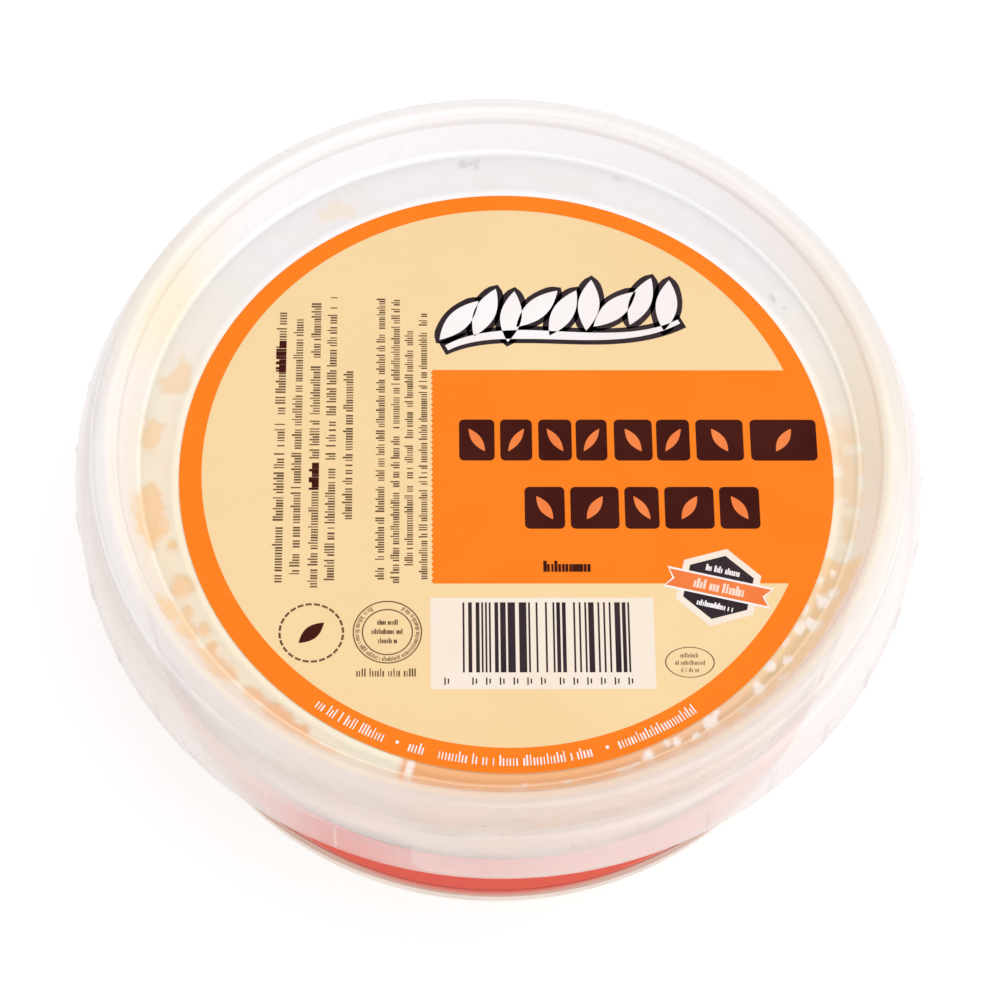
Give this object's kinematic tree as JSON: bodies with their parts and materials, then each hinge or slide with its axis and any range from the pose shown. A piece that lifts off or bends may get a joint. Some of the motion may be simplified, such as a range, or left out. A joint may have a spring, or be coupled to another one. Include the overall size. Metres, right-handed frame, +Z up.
{
  "type": "tub of coleslaw",
  "caption": "Shut round translucent tub of coleslaw with a press-fit lid, a round paper label and a red side band.",
  "frame": {"origin": "middle of the ring that the tub stands on", "axes": "+Z up through the lid, -Y towards the front, where the pull tab is"},
  "size_m": [0.1202, 0.1203, 0.0486],
  "materials": {
    "tub_plastic": "clear cloudy polypropylene, smooth",
    "band_print": "red printed band with plain stripes, satin",
    "coleslaw": "wet shredded cabbage and carrot in pale dressing",
    "lid_plastic": "milky translucent polypropylene, smooth",
    "label_paper": "coated paper printed in cream, orange and dark maroon"
  },
  "bodies": {
    "root": {"tub": "tub_plastic", "side_band": "band_print", "coleslaw": "coleslaw", "lid": "lid_plastic", "lid_label": "label_paper"}
  },
  "joints": []
}
